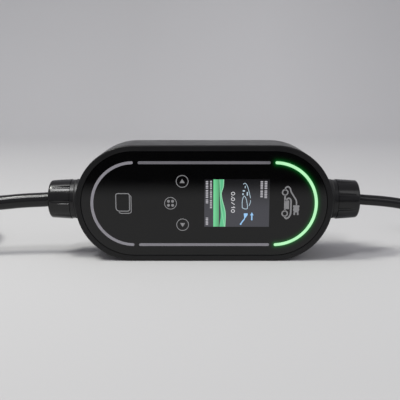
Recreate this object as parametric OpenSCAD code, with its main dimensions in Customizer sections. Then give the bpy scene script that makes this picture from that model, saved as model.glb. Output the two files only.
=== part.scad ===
// Portable electric-vehicle charger: an in-cable control box with a stadium-shaped face,
// a cable gland at each end, a vehicle cable with a connector and a short mains lead with a plug.
// Millimetres. X runs along the box, -Y is the face, +Z is up, and Z = 0 is what it stands on.

/* [Case] */
// Width of the case, end to end
case_w = 226.5; // [216:0.5:260]
// Height of the case, twice the radius of its round ends
case_h = 103; // [98:1:112]
// Depth of the case, rim to back
case_d = 56; // [54:1:70]
// Thickness of the rear shell
wall = 3; // [2.4:0.1:3.6]
// Radius of the edge at the back
rear_edge = 5; // [3:0.5:7]
// Radius of the edge around the rim
front_edge = 1.2; // [0.8:0.1:1.8]
// Depth of the front cover, rim to seam
cover_d = 7; // [6.6:0.1:8.4]

/* [Face] */
// Width of the rim around the front panel
rim_w = 5.2; // [4.4:0.1:6]
// Thickness of the front panel
panel_t = 3; // [2:0.1:3.4]
// Thickness of the cover's floor behind the panel
floor_t = 2.2; // [1.8:0.1:2.6]
// Distance from the case's edge to the middle of the light ring
light_inset = 15; // [14:0.5:17]
// Width of the light ring
light_w = 2.5; // [2:0.1:3]
// Gap between two light bars
light_gap = 4.2; // [3:0.1:6]
// Width of the lit area of the display
display_w = 57.6; // [50:0.1:60]
// Height of the lit area of the display
display_h = 43.2; // [38:0.1:46]
// Middle of the display, to the right of the face's middle
display_x = 29.5; // [26:0.1:32]
// Radius of a touch pad
pad_r = 4; // [3:0.1:4.8]

/* [Glands] */
// Length of a gland nut
nut_len = 19.4; // [18:0.1:22]
// Radius of a gland nut at its wide end
nut_r = 18.2; // [17.6:0.1:20]
// Radius of the gland's neck, inside the case wall
neck_r = 12.5; // [11.5:0.1:13]
// Distance of the gland's axis in front of the middle of the case
gland_forward = 2; // [0:0.5:3]

/* [Cables] */
// Diameter of the vehicle cable
vehicle_cable_d = 13.3; // [12:0.1:13.3]
// Diameter of the mains lead
mains_lead_d = 9.7; // [8.5:0.1:9.7]

/* [Connectors] */
// Diameter of a plug pin
pin_d = 4.8; // [4:0.1:5]
// Distance between the plug's two pins
pin_pitch = 19; // [18:0.5:20]
// Length of a plug pin in front of the plug's face
pin_len = 19; // [17:0.5:20]
// Radius of a power contact's bore
contact_r = 3; // [2.9:0.05:3.2]
// Radius of a signal contact's bore
signal_r = 1.5; // [1.3:0.05:1.7]

/* [Hidden] */
$fn = 64;

// Clearances: between parts that slide together, and between faces that rest on each other
slide = 0.1;
seat = 0.05;

// Case, measured from its middle: depths run towards the face
end_r = case_h / 2;
straight = case_w - case_h;
front = case_d / 2;
back = -case_d / 2;
seam = front - cover_d;
inside_back = back + wall;

// Front panel and the cover's floor
panel_recess = 0.2;
panel_r = end_r - rim_w;
panel_chamfer = 0.4;
panel_front = front - panel_recess;
panel_back = panel_front - panel_t;
floor_back = panel_back - floor_t;

// Sealed joint between the shells
flange_w = 6;
flange_h = 6;
groove_w = 2.2;
groove_d = 2.6;
groove_r = end_r - flange_w / 2;
seal_r = 1;
tongue_w = groove_w - 4 * slide;
tongue_h = groove_d - 2 * seal_r - 2 * seat;

// Screws through the rear shell's posts into the cover's bosses
screw_r = 1.45;
screw_head_r = 2.75;
screw_head_h = 2.4;
screw_len = 20;
boss_r = 3.3;
post_r = 4;
post_ring = end_r - 9.5;
post_angle = 40;
post_x = 45;
post_top = seam - 7;
screw_seat = floor_back - screw_len;
post_places = [
    for (side = [-1, 1], level = [-1, 1]) each [
        [side * post_x, level * post_ring],
        [side * (straight / 2 + post_ring * cos(post_angle)), level * post_ring * sin(post_angle)]
    ]
];

// Light ring
light_r = end_r - light_inset;
light_flange = 0.8;
light_flange_t = 1.2;
gap_x = straight / 2 - light_gap / 2;
arc_end = gap_x + (light_gap + light_w) / 2;
bar_end = gap_x - (light_gap + light_w) / 2;

// Display, touch pads and card reader
display_border = 5.7;
display_border_y = 3.4;
display_t = 3;
display_y = 0.3;
window_margin = 0.5;
display_back = floor_back - seat - display_t;
pad_places = [[-18.6, 20.2], [-29, 0.6], [-18.5, -18.5]];
antenna_x = -71;
antenna_w = 28;
antenna_h = 36;
antenna_track = 5;
antenna_t = 0.8;

// Boards
board_t = 1.6;
board_screw_r = 1.2;
board_screw_head_r = 2.3;
board_screw_head_h = 1.8;
control_front = display_back - seat;
control_back = control_front - board_t;
control_r = light_r + 1.6;
control_screw_places = [[-45, 27], [-45, -27], [78, 20], [78, -20]];
control_boss_r = 3;
led_size = [3.5, 2.8, 1.6];
standoff_h = 5;
standoff_r = 3.5;
power_back = inside_back + standoff_h;
power_front = power_back + board_t;
power_size = [160, 72];
power_screw_places = [for (x = [-72, 72], y = [-30, 30]) [x, y]];
relay_size = [28, 26, 20];
relay_x = -32;
relay_gap = 4;
supply_size = [30, 28, 18];
supply_place = [3, -18];
sensor_size = [12, 30];
sensor_hole_r = 7.5;
sensor_top = control_back - 1.9;
sensor_x = 46;
terminal_len = 14;
vehicle_terminal_w = 32;
mains_terminal_w = 26;
earth_terminal_w = 10;
vehicle_terminal_x = -69;
mains_terminal_x = 29;
earth_terminal_x = 64;
link_x = -54;
link_w = 16;
link_t = 1.2;

// Glands, measured out along X from the middle of the case
pad_out = 2;
pad_depth = 10;
gland_pad_r = 18.2;
gland_face = case_w / 2 + pad_out;
gland_inner = gland_face - pad_depth;
gasket_t = 1.2;
collar_t = 3.3;
collar_r = gland_pad_r - 0.5;
nut_start = gland_face + gasket_t + collar_t + 0.3;
nut_end = nut_start + nut_len;
nut_taper = 1.1;
nut_round = 2.4;
nut_wall = 4;
thread_r = neck_r + 1;
gland_end = nut_end - nut_wall - 1.6;
bush_len = 12;
bush_r = thread_r - 2.4;
lock_nut_t = 4;
lock_nut_r = 17;
neck_len = 8;
grip_count = 8;
grip_groove_r = 2;
grip_groove_depth = 0.6;
grip_groove_len = nut_len - 1.6 * nut_round;
jacket_start = gland_end - bush_len;
core_r = 1.7;
core_offset = 2.2;

// Vehicle cable, laid up as a flat hank past the left end
vehicle_cable_r = vehicle_cable_d / 2;
hank_pitch = 13.4;
hank_layers = 3;
hank_run = 280;
hank_fold_r = 40;
hank_x = -416;
hank_y = 32;
hank_near = hank_x + hank_run / 2;
hank_far = hank_x - hank_run / 2;
hank_h = hank_layers * hank_pitch;
hank_top_z = hank_h + hank_pitch / 2;
hank_in_y = hank_y - hank_fold_r;
hank_entry = hank_near - 40;
hank_entry_len = 70;
tail_notch = 90;
vehicle_cable_path = [
    [-jacket_start, -gland_forward, case_h / 2], [-134, -gland_forward, case_h / 2], [-140, -2, 51.25],
    [-147, -2, 50.7], [-166, -2, 49.7], [-184, -3, 48.2], [-202, -5, 47.3], [-224, -7, 47],
    [-248, -8, 46.9], [-278, -8, 46.9], [hank_entry, -8, 46.9]
];
vehicle_tail_path = [
    for (p = [[0.5, 72, 20.1], [9, 71.4, 20.1], [20, 68, 20.1], [29, 63.4, 20.1], [38, 56.6, 22.4], [49, 47.2, 25.9],
              [60, 38.8, 29.2], [70, 33.6, 31], [79, 32.1, 31.45], [85, 32, 31.5], [106, 32, 31.5]])
        [hank_far + p[0], p[1], p[2]]
];
tie_w = 20;
tie_t = 1.5;
tie_x = hank_x - 12;

// Vehicle connector, lying in the middle of the hank
connector_x = hank_far + 81;
connector_z = 31.5;
connector_len = 216;
boot_len = 30;
boot_r = 13;
flange_at = 158;
connector_flange_r = 31;
connector_flange_t = 8;
grip_r = 19.5;
nose_r = 27.5;
nose_wall = 3;
nose_flat = 21.5;
insert_end = connector_len - 1.5;
contact_wall = 1;
contact_depth = 26;
contact_places = [[-16.8, 0], [0, 0], [16.8, 0]];
signal_places = [[-8.5, 12.5], [8.5, 12.5]];

// Mains lead and its plug
mains_lead_r = mains_lead_d / 2;
mains_lead_path = [
    [jacket_start, -gland_forward, case_h / 2], [134, -gland_forward, case_h / 2], [140, -2, 51.25],
    [147, -2, 50.6], [164, -2, 49.2], [182, -3, 46.7], [200, -6, 41.6], [218, -9.5, 33.3],
    [236, -12.4, 23.8], [254, -13.8, 14.4], [270, -14, 8], [284, -13.8, 5.2], [298, -11, 4.9],
    [310, -3, 4.9], [318, 8.5, 4.9], [321, 22, 5.6], [319.6, 36, 7.6], [313.4, 48.6, 11.2],
    [306.4, 57.4, 15], [299.4, 61.8, 18.2], [292, 64, 19.6], [270.12, 66.3, 19.6]
];
plug_x = 292;
plug_y = 64;
plug_z = 19.6;
plug_turn = 6;
plug_boot_len = 24;
plug_boot_r = 9;
plug_face = 60;
plug_r = 19.2;
pin_root_r = pin_d / 2 - 0.4;
pin_root_len = 8;
pin_tip = 1.2;
clip_w = 5;
clip_t = 1.2;
clip_len = 16;
clip_groove_d = 2.4;

// Frames: the face of the case, a gland, the connector and the plug
module on_face() translate([0, 0, case_h / 2]) rotate([90, 0, 0]) children();
module at_gland(side) {
    mirror([side < 0 ? 1 : 0, 0, 0])
        translate([0, -gland_forward, case_h / 2]) rotate([0, 90, 0]) children();
}
module at_connector() translate([connector_x, hank_y, connector_z]) rotate([0, 90, 0]) children();
module at_plug() translate([plug_x, plug_y, plug_z]) rotate([0, 0, -plug_turn]) rotate([0, -90, 0]) children();

// Flat shape with round ends
module stadium(r, len) {
    square([len, 2 * r], center = true);
    for (side = [-1, 1]) translate([side * len / 2, 0]) circle(r = r);
}

// A section (distance from the middle line, depth) carried around the stadium
module around_case() {
    for (side = [-1, 1])
        translate([side * straight / 2, 0, 0]) rotate([0, 0, -90 * side])
            rotate_extrude(angle = 180) children();
    for (flip = [0, 1])
        mirror([0, flip, 0]) rotate([90, 0, 90]) translate([0, 0, -straight / 2])
            linear_extrude(straight) children();
}

// The waste of a square corner that is rounded off, with the corner at the origin
module corner_waste(r) {
    difference() {
        translate([-r, -r]) square([2 * r, 2 * r]);
        translate([-r, -r]) circle(r = r);
        translate([-2 * r, -r]) square([r, 2 * r]);
        translate([-r, -2 * r]) square([2 * r, r]);
    }
}

module slab(size, z0, z1) {
    translate([-size[0] / 2, -size[1] / 2, z0]) cube([size[0], size[1], z1 - z0]);
}

module pin_at(place, r, z0, z1) translate([place[0], place[1], z0]) cylinder(r = r, h = z1 - z0);

module rod_x(r, x0, x1, y, z) translate([x0, y, z]) rotate([0, 90, 0]) cylinder(r = r, h = x1 - x0);

module ring_section(r_in, r_out, z0, z1) {
    rotate_extrude() translate([r_in, z0]) square([r_out - r_in, z1 - z0]);
}

// Shells
module rear_section() {
    difference() {
        translate([0, back]) square([end_r, seam - back]);
        translate([end_r, back]) mirror([0, 1]) corner_waste(rear_edge);
        translate([0, inside_back]) square([end_r - wall, seam - inside_back + 1]);
    }
    polygon([
        [end_r - wall - seat, seam - flange_h - (flange_w - wall)], [end_r - flange_w, seam - flange_h],
        [end_r - flange_w, seam], [end_r - wall / 2, seam],
        [end_r - wall / 2, seam - flange_h - (flange_w - wall)]
    ]);
}

module groove_section() translate([groove_r - groove_w / 2, seam - groove_d]) square([groove_w, groove_d + 1]);

module gland_pads() {
    for (side = [-1, 1])
        at_gland(side) translate([0, 0, gland_inner]) cylinder(r = gland_pad_r, h = pad_depth);
}

module rear_shell() {
    color([0.06, 0.06, 0.065])
    difference() {
        union() {
            on_face() {
                around_case() rear_section();
                for (place = post_places) pin_at(place, post_r, inside_back - wall / 2, post_top);
                for (place = power_screw_places) pin_at(place, standoff_r, inside_back - wall / 2, power_back);
            }
            gland_pads();
        }
        on_face() {
            around_case() groove_section();
            for (place = post_places) {
                pin_at(place, screw_r + slide, screw_seat - 1, post_top + 1);
                pin_at(place, screw_head_r + 3 * slide, back - 1, screw_seat);
            }
            for (place = power_screw_places) pin_at(place, board_screw_r + seat, inside_back, power_back + 1);
        }
        for (side = [-1, 1])
            at_gland(side) translate([0, 0, gland_inner - 1]) cylinder(r = neck_r + slide, h = pad_depth + 2);
    }
}

module cover_section() {
    translate([0, floor_back]) square([end_r - rim_w / 2, floor_t]);
    difference() {
        translate([panel_r + 2 * slide, floor_back]) square([rim_w - 2 * slide, front - floor_back]);
        translate([end_r, front]) corner_waste(front_edge);
    }
    translate([end_r - flange_w, seam]) square([flange_w, floor_back - seam + floor_t / 2]);
    translate([groove_r - tongue_w / 2, seam - tongue_h]) square([tongue_w, tongue_h + cover_d / 4]);
}

module front_cover() {
    color([0.09, 0.09, 0.095])
    on_face()
    difference() {
        union() {
            around_case() cover_section();
            for (place = post_places) pin_at(place, boss_r, post_top + seat, floor_back + floor_t / 2);
            for (place = control_screw_places)
                pin_at(place, control_boss_r, control_front + seat, floor_back + floor_t / 2);
        }
        for (place = post_places) pin_at(place, screw_r + seat, post_top - 1, floor_back + seat);
        for (place = control_screw_places)
            pin_at(place, board_screw_r + seat, control_front - 1, floor_back + floor_t / 2);
        translate([display_x, display_y, 0])
            slab([display_w + 2 * window_margin + slide, display_h + 2 * window_margin + slide],
                 floor_back - 1, panel_back + 1);
        for (place = pad_places) pin_at(place, pad_r + 5 * slide, floor_back - 1, panel_back + 1);
        translate([0, 0, floor_back - 1]) linear_extrude(floor_t + 2) light_slots();
    }
}

module panel_section() {
    polygon([
        [0, panel_back], [panel_r, panel_back], [panel_r, panel_front - panel_chamfer],
        [panel_r - panel_chamfer, panel_front], [0, panel_front]
    ]);
}

module front_panel() {
    color([0.02, 0.02, 0.022])
    on_face()
    difference() {
        around_case() panel_section();
        translate([0, 0, panel_back - 1]) linear_extrude(panel_t + 2) light_slots();
    }
}

module housing_seal() {
    color([0.25, 0.25, 0.26])
    on_face() around_case() translate([groove_r, seam - groove_d + seat + seal_r]) circle(r = seal_r);
}

module screw(place, r, len, head_r, head_h, z) {
    pin_at(place, r, z, z + len);
    difference() {
        pin_at(place, head_r, z - head_h, z);
        pin_at(place, head_r / 2, z - head_h - 1, z - head_h / 2, $fn = 6);
    }
}

module housing_screws() {
    color("silver")
    on_face() for (place = post_places)
        screw(place, screw_r, screw_len - seat, screw_head_r, screw_head_h, screw_seat);
}

// Light ring
module light_arc_shape(width) {
    translate([straight / 2, 0]) intersection() {
        difference() {
            circle(r = light_r + width / 2);
            circle(r = light_r - width / 2);
        }
        translate([arc_end - straight / 2, -end_r]) square([end_r, case_h]);
    }
    for (level = [-1, 1]) translate([arc_end, level * light_r]) circle(d = width);
}

module light_bar_shape(width) translate([0, light_r]) stadium(width / 2, 2 * bar_end);

module light_slots() {
    width = light_w + slide;
    for (flip = [0, 1]) {
        mirror([flip, 0]) light_arc_shape(width);
        mirror([0, flip]) light_bar_shape(width);
    }
}

module light_guide() {
    translate([0, 0, floor_back - light_flange_t / 2])
        linear_extrude(panel_front - floor_back + light_flange_t / 2) children(0);
    translate([0, 0, floor_back - seat - light_flange_t]) linear_extrude(light_flange_t) children(1);
}

module light_arc(flip) {
    on_face() mirror([flip, 0, 0]) light_guide() {
        light_arc_shape(light_w);
        light_arc_shape(light_w + 2 * light_flange);
    }
}

module light_bar(flip) {
    on_face() mirror([0, flip, 0]) light_guide() {
        light_bar_shape(light_w);
        light_bar_shape(light_w + 2 * light_flange);
    }
}

module left_light_arc() color([0.4, 0.4, 0.43]) light_arc(1);
module right_light_arc() color([0.3, 0.95, 0.4]) light_arc(0);
module top_light_bar() color([0.4, 0.4, 0.43]) light_bar(0);
module bottom_light_bar() color([0.4, 0.4, 0.43]) light_bar(1);

// Behind the face
module display_module() {
    color([0.2, 0.2, 0.22])
    on_face() translate([display_x, display_y, 0]) {
        slab([display_w + 2 * display_border, display_h + 2 * display_border_y], display_back, floor_back - seat);
        slab([display_w + 2 * window_margin, display_h + 2 * window_margin],
             floor_back - display_t / 2, panel_back - seat);
    }
}

module control_board() {
    color([0.05, 0.3, 0.15])
    on_face() difference() {
        translate([0, 0, control_back]) linear_extrude(board_t) stadium(control_r, straight);
        for (place = control_screw_places) pin_at(place, board_screw_r + slide, control_back - 1, control_front + 1);
    }
}

module indicator_leds() {
    color("ivory")
    on_face() {
        for (side = [-1, 1], angle = [-75 : 25 : 75])
            translate([side * (straight / 2 + light_r * cos(angle)), light_r * sin(angle), 0])
                slab(led_size, control_front, control_front + led_size[2]);
        for (level = [-1, 1], step = [-2 : 2])
            translate([step * bar_end / 2.4, level * light_r, 0])
                slab(led_size, control_front, control_front + led_size[2]);
    }
}

module touch_pads() {
    color("dimgray")
    on_face() for (place = pad_places) pin_at(place, pad_r, control_front, panel_back - seat);
}

module card_antenna() {
    color([0.1, 0.35, 0.2])
    on_face() translate([antenna_x, 0, 0]) difference() {
        slab([antenna_w, antenna_h], floor_back - seat - antenna_t, floor_back - seat);
        slab([antenna_w - 2 * antenna_track, antenna_h - 2 * antenna_track], display_back, floor_back);
    }
}

module control_board_screws() {
    color("silver")
    on_face() for (place = control_screw_places)
        screw(place, board_screw_r, board_t + floor_back - control_front, board_screw_head_r,
              board_screw_head_h, control_back);
}

// In the rear shell
module power_board() {
    color([0.05, 0.3, 0.15])
    on_face() difference() {
        slab(power_size, power_back, power_front);
        for (place = power_screw_places) pin_at(place, board_screw_r + slide, power_back - 1, power_front + 1);
    }
}

module power_board_screws() {
    color("silver")
    on_face() for (place = power_screw_places) translate([place[0], place[1], power_front])
        mirror([0, 0, 1]) screw([0, 0], board_screw_r, board_t + standoff_h - 1, board_screw_head_r,
                                board_screw_head_h, 0);
}

module power_relays() {
    color([0.1, 0.15, 0.4])
    on_face() for (level = [-1, 1])
        translate([relay_x, level * (relay_size[1] + relay_gap) / 2, 0])
            slab(relay_size, power_front, power_front + relay_size[2]);
}

module current_sensor() {
    color([0.15, 0.15, 0.15])
    on_face() translate([sensor_x, 0, 0]) difference() {
        slab(sensor_size, power_front, sensor_top);
        rod_x(sensor_hole_r, -sensor_size[0], sensor_size[0], 0, gland_forward);
    }
}

module power_supply() {
    color([0.7, 0.6, 0.2])
    on_face() translate([supply_place[0], supply_place[1], 0])
        slab(supply_size, power_front, power_front + supply_size[2]);
}

module terminal_blocks() {
    color([0.1, 0.35, 0.2])
    on_face() {
        translate([vehicle_terminal_x, 0, 0])
            slab([terminal_len, vehicle_terminal_w], power_front, gland_forward + core_offset + 2 * core_r);
        translate([mains_terminal_x, 0, 0])
            slab([terminal_len, mains_terminal_w], power_front, gland_forward + core_offset + 2 * core_r);
        translate([earth_terminal_x, 0, 0])
            slab([terminal_len / 2, earth_terminal_w], power_front, gland_forward - core_offset / 2);
    }
}

module board_link() {
    color("whitesmoke")
    on_face() translate([link_x, 0, 0]) {
        slab([link_t, link_w], power_front, control_back);
        slab([link_t + 4, link_w + 2], power_front, power_front + 6);
        slab([link_t + 4, link_w + 2], control_back - 6, control_back);
    }
}

module vehicle_leads() {
    color([0.3, 0.2, 0.5])
    on_face() for (y = [-1, 1], z = [-1, 1])
        rod_x(core_r, -jacket_start, vehicle_terminal_x - terminal_len / 2, y * core_offset,
              gland_forward + z * core_offset);
}

module mains_leads() {
    color([0.4, 0.25, 0.1])
    on_face() {
        for (y = [-1, 1])
            rod_x(core_r, mains_terminal_x + terminal_len / 2, jacket_start, y * core_offset,
                  gland_forward + core_offset / 2 + core_r / 2);
        rod_x(core_r, earth_terminal_x + terminal_len / 4, jacket_start, 0,
              gland_forward - core_offset / 2 - core_r - seat);
    }
}

// Cable glands
module gland_body(side, cable_r) {
    color([0.07, 0.07, 0.075])
    at_gland(side) difference() {
        union() {
            ring_section(0, neck_r, gland_inner - neck_len, gland_face + gasket_t + 1);
            ring_section(0, collar_r, gland_face + gasket_t, gland_face + gasket_t + collar_t);
            ring_section(0, thread_r, gland_face + gasket_t + collar_t / 2, gland_end);
        }
        ring_section(0, min(cable_r + 1, bush_r - 1), gland_inner - neck_len - 1, gland_end);
        ring_section(0, bush_r, jacket_start, gland_end + 1);
    }
}

module gland_gasket(side) {
    color([0.2, 0.2, 0.2])
    at_gland(side) ring_section(neck_r + slide, collar_r, gland_face, gland_face + gasket_t);
}

module gland_bush(side, cable_r) {
    color([0.2, 0.2, 0.2])
    at_gland(side) ring_section(cable_r + seat, bush_r - seat, jacket_start + seat, gland_end + 1);
}

module nut_section(cable_r) {
    tip_r = nut_r - nut_taper;
    difference() {
        polygon([
            [cable_r + 0.7, nut_start], [nut_r, nut_start], [tip_r, nut_end - nut_round],
            for (angle = [15 : 15 : 90])
                [tip_r - nut_round * (1 - cos(angle)), nut_end - nut_round * (1 - sin(angle))],
            [cable_r + 0.7, nut_end]
        ]);
        translate([0, nut_start - 1]) square([thread_r + slide, nut_end - nut_wall - nut_start + 1]);
    }
}

module gland_nut(side, cable_r, turn) {
    color([0.07, 0.07, 0.075])
    at_gland(side) difference() {
        rotate_extrude() nut_section(cable_r);
        for (step = [0 : grip_count - 1])
            rotate(turn + step * 360 / grip_count)
                translate([nut_r - nut_taper / 2 + grip_groove_r - grip_groove_depth, 0, nut_start - 1])
                    cylinder(r = grip_groove_r, h = grip_groove_len + 1);
    }
}

module lock_nut(side) {
    color([0.07, 0.07, 0.075])
    at_gland(side) difference() {
        translate([0, 0, gland_inner - lock_nut_t]) cylinder(r = lock_nut_r, h = lock_nut_t, $fn = 6);
        translate([0, 0, gland_inner - lock_nut_t - 1]) cylinder(r = neck_r + slide, h = lock_nut_t + 2);
    }
}

module left_gland_body() gland_body(-1, vehicle_cable_r);
module left_gland_gasket() gland_gasket(-1);
module left_gland_bush() gland_bush(-1, vehicle_cable_r);
module left_gland_nut() gland_nut(-1, vehicle_cable_r, 0);
module left_lock_nut() lock_nut(-1);
module right_gland_body() gland_body(1, mains_lead_r);
module right_gland_gasket() gland_gasket(1);
module right_gland_bush() gland_bush(1, mains_lead_r);
module right_gland_nut() gland_nut(1, mains_lead_r, 180 / grip_count);
module right_lock_nut() lock_nut(1);

// A round tube swept along a route
function unit(v) = v / norm(v);
function heading(path, i) = unit(path[min(i + 1, len(path) - 1)] - path[max(i - 1, 0)]);
function tube_ring(path, i, r, sides) =
    let (ahead = heading(path, i), across = unit(cross([0, 0, 1], ahead)), up = cross(ahead, across))
    [for (k = [0 : sides - 1]) path[i] + r * (cos(360 * k / sides) * across + sin(360 * k / sides) * up)];

module tube(path, r, sides = 12) {
    last = (len(path) - 1) * sides;
    polyhedron(
        points = [for (i = [0 : len(path) - 1]) each tube_ring(path, i, r, sides)],
        faces = [
            [for (k = [0 : sides - 1]) k],
            [for (k = [sides - 1 : -1 : 0]) last + k],
            for (i = [0 : len(path) - 2], k = [0 : sides - 1])
                let (next = (k + 1) % sides, here = i * sides, there = here + sides)
                [here + k, there + k, there + next, here + next]
        ]
    );
}

// Vehicle cable
module vehicle_cable() color([0.05, 0.05, 0.05]) tube(vehicle_cable_path, vehicle_cable_r);

module hank_shape(r_in, r_out) {
    difference() {
        stadium(r_out, hank_run);
        stadium(r_in, hank_run);
    }
}

module vehicle_cable_hank() {
    color([0.05, 0.05, 0.05])
    difference() {
        union() {
            translate([hank_x, hank_y, 0]) linear_extrude(hank_h)
                hank_shape(hank_fold_r - hank_pitch / 2, hank_fold_r + 1.5 * hank_pitch);
            rod_x(vehicle_cable_r, hank_entry - hank_entry_len, hank_entry, hank_in_y, hank_top_z);
            translate([hank_entry - hank_entry_len, hank_in_y - hank_pitch / 4, hank_h - 1])
                cube([hank_entry_len, hank_pitch / 2, hank_pitch / 2]);
        }
        translate([hank_far, hank_y, hank_pitch])
            cube([tail_notch, hank_fold_r + hank_pitch / 2, hank_pitch]);
    }
}

module vehicle_cable_tail() color([0.05, 0.05, 0.05]) tube(vehicle_tail_path, vehicle_cable_r);

module hank_ties() {
    leg_mid = hank_fold_r + hank_pitch / 2;
    color([0.12, 0.12, 0.13])
    for (side = [-1, 1])
        translate([tie_x, hank_y + side * leg_mid, 0]) rotate([90, 0, 90]) linear_extrude(tie_w) difference() {
            translate([-hank_pitch - tie_t - seat, 0]) square([2 * (hank_pitch + tie_t + seat), hank_h + tie_t + seat]);
            translate([-hank_pitch - seat, -1]) square([2 * (hank_pitch + seat), hank_h + seat + 1]);
        }
}

// Vehicle connector
module boot_section(cable_r, r, len, ribs) {
    pitch = len / (ribs + 1);
    difference() {
        polygon([[cable_r, 0], [cable_r + 2.4, 0], [r, len], [cable_r, len]]);
        for (step = [1 : ribs]) translate([cable_r + 1.4, step * pitch - 0.8]) square([r, 1.6]);
    }
}

function blend(a, b, t) = a + (b - a) * (3 - 2 * t) * t * t;
handle_stations = [[boot_len - 4, 15], [boot_len + 18, grip_r], [boot_len + 56, grip_r + 1],
                   [boot_len + 84, grip_r - 1], [flange_at, connector_flange_r - 1.5]];
handle_steps = 6;

module connector_handle() {
    color([0.08, 0.08, 0.085])
    at_connector() difference() {
        union() {
            rotate_extrude() polygon([
                [0, handle_stations[0][0]],
                for (i = [0 : len(handle_stations) - 2], k = [0 : handle_steps - 1])
                    let (a = handle_stations[i], b = handle_stations[i + 1], t = k / handle_steps)
                    [blend(a[1], b[1], t), a[0] + (b[0] - a[0]) * t],
                [connector_flange_r - 1.5, flange_at],
                [0, flange_at]
            ]);
            ring_section(0, connector_flange_r, flange_at - seat, flange_at + connector_flange_t);
        }
        ring_section(0, boot_r + seat, 0, boot_len + seat);
        ring_section(0, vehicle_cable_r + seat, 0, 2 * boot_len);
        for (side = [-1, 1], step = [0 : 6])
            translate([0, side * (grip_r + 2), boot_len + 26 + step * 7])
                rotate([0, 90, 0]) cylinder(r = 2.4, h = 4 * grip_r, center = true);
    }
}

module connector_boot() {
    color([0.06, 0.06, 0.06])
    at_connector() rotate_extrude() boot_section(vehicle_cable_r + seat, boot_r, boot_len, 5);
}

module nose_shape(r, flat) {
    intersection() {
        circle(r = r);
        translate([-2 * r, -2 * r]) square([4 * r, 2 * r + flat]);
    }
}

module connector_nose() {
    base = flange_at + connector_flange_t;
    color([0.08, 0.08, 0.085])
    at_connector() translate([0, 0, base]) linear_extrude(connector_len - base) difference() {
        nose_shape(nose_r, nose_flat);
        nose_shape(nose_r - nose_wall, nose_flat - nose_wall);
    }
}

module connector_insert() {
    base = flange_at + connector_flange_t;
    color([0.16, 0.16, 0.17])
    at_connector() difference() {
        translate([0, 0, base]) linear_extrude(insert_end - base)
            nose_shape(nose_r - nose_wall - slide, nose_flat - nose_wall - slide);
        for (place = contact_places)
            pin_at(place, contact_r + contact_wall + seat, insert_end - contact_depth, insert_end + 1);
        for (place = signal_places)
            pin_at(place, signal_r + contact_wall + seat, insert_end - contact_depth, insert_end + 1);
    }
}

module contact_sleeve(place, r) {
    difference() {
        pin_at(place, r + contact_wall, insert_end - contact_depth, insert_end - 4);
        pin_at(place, r, insert_end - contact_depth + 2, insert_end);
    }
}

module connector_contacts() {
    color("silver")
    at_connector() {
        for (place = contact_places) contact_sleeve(place, contact_r);
        for (place = signal_places) contact_sleeve(place, signal_r);
    }
}

// Mains lead and plug
module mains_lead() color([0.05, 0.05, 0.05]) tube(mains_lead_path, mains_lead_r);

module plug_body() {
    color([0.06, 0.06, 0.06])
    at_plug() difference() {
        rotate_extrude() polygon([
            [0, plug_boot_len - 4], [plug_boot_r + 3, plug_boot_len - 4], [plug_boot_r + 5, plug_boot_len + 4],
            [plug_r - 2, plug_face - 20], [plug_r, plug_face - 16], [plug_r, plug_face - 1],
            [plug_r - 1, plug_face], [0, plug_face]
        ]);
        ring_section(0, plug_boot_r + seat, 0, plug_boot_len + seat);
        ring_section(0, mains_lead_r + seat, 0, plug_boot_len + 6);
        for (side = [-1, 1]) {
            translate([side * pin_pitch / 2, 0, plug_face - pin_root_len])
                cylinder(r = pin_root_r + seat, h = pin_root_len + 1);
            translate([0, side * plug_r, plug_face - clip_len / 2])
                cube([clip_w + 2 * slide, 2 * clip_groove_d, clip_len + slide], center = true);
        }
    }
}

module plug_boot() {
    color([0.06, 0.06, 0.06])
    at_plug() rotate_extrude() boot_section(mains_lead_r + seat, plug_boot_r, plug_boot_len, 4);
}

module plug_pins() {
    color("silver")
    at_plug() for (side = [-1, 1]) translate([side * pin_pitch / 2, 0, 0]) rotate_extrude()
        polygon([
            [0, plug_face - pin_root_len + seat], [pin_root_r, plug_face - pin_root_len + seat],
            [pin_root_r, plug_face], [pin_d / 2, plug_face], [pin_d / 2, plug_face + pin_len - pin_tip],
            [pin_d / 2 - pin_tip, plug_face + pin_len], [0, plug_face + pin_len]
        ]);
}

module plug_earth_clips() {
    color("silver")
    at_plug() for (side = [-1, 1])
        translate([0, side * (plug_r - clip_groove_d + clip_t / 2 + seat), plug_face - clip_len / 2])
            cube([clip_w, clip_t, clip_len - 2 * seat], center = true);
}

rear_shell();
front_cover();
front_panel();
housing_seal();
housing_screws();
left_light_arc();
right_light_arc();
top_light_bar();
bottom_light_bar();
display_module();
control_board();
indicator_leds();
touch_pads();
card_antenna();
control_board_screws();
power_board();
power_board_screws();
power_relays();
current_sensor();
power_supply();
terminal_blocks();
board_link();
vehicle_leads();
mains_leads();
left_gland_body();
left_gland_gasket();
left_gland_bush();
left_gland_nut();
left_lock_nut();
right_gland_body();
right_gland_gasket();
right_gland_bush();
right_gland_nut();
right_lock_nut();
vehicle_cable();
vehicle_cable_hank();
vehicle_cable_tail();
hank_ties();
connector_handle();
connector_boot();
connector_nose();
connector_insert();
connector_contacts();
mains_lead();
plug_body();
plug_boot();
plug_pins();
plug_earth_clips();
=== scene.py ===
"""Dresses the portable car charger's solids: finishes, face print, display, light ring, cables and stage."""

import math

import bmesh
import bpy
from bpy.props import FloatProperty, FloatVectorProperty, PointerProperty
from mathutils import Matrix, Vector


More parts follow.
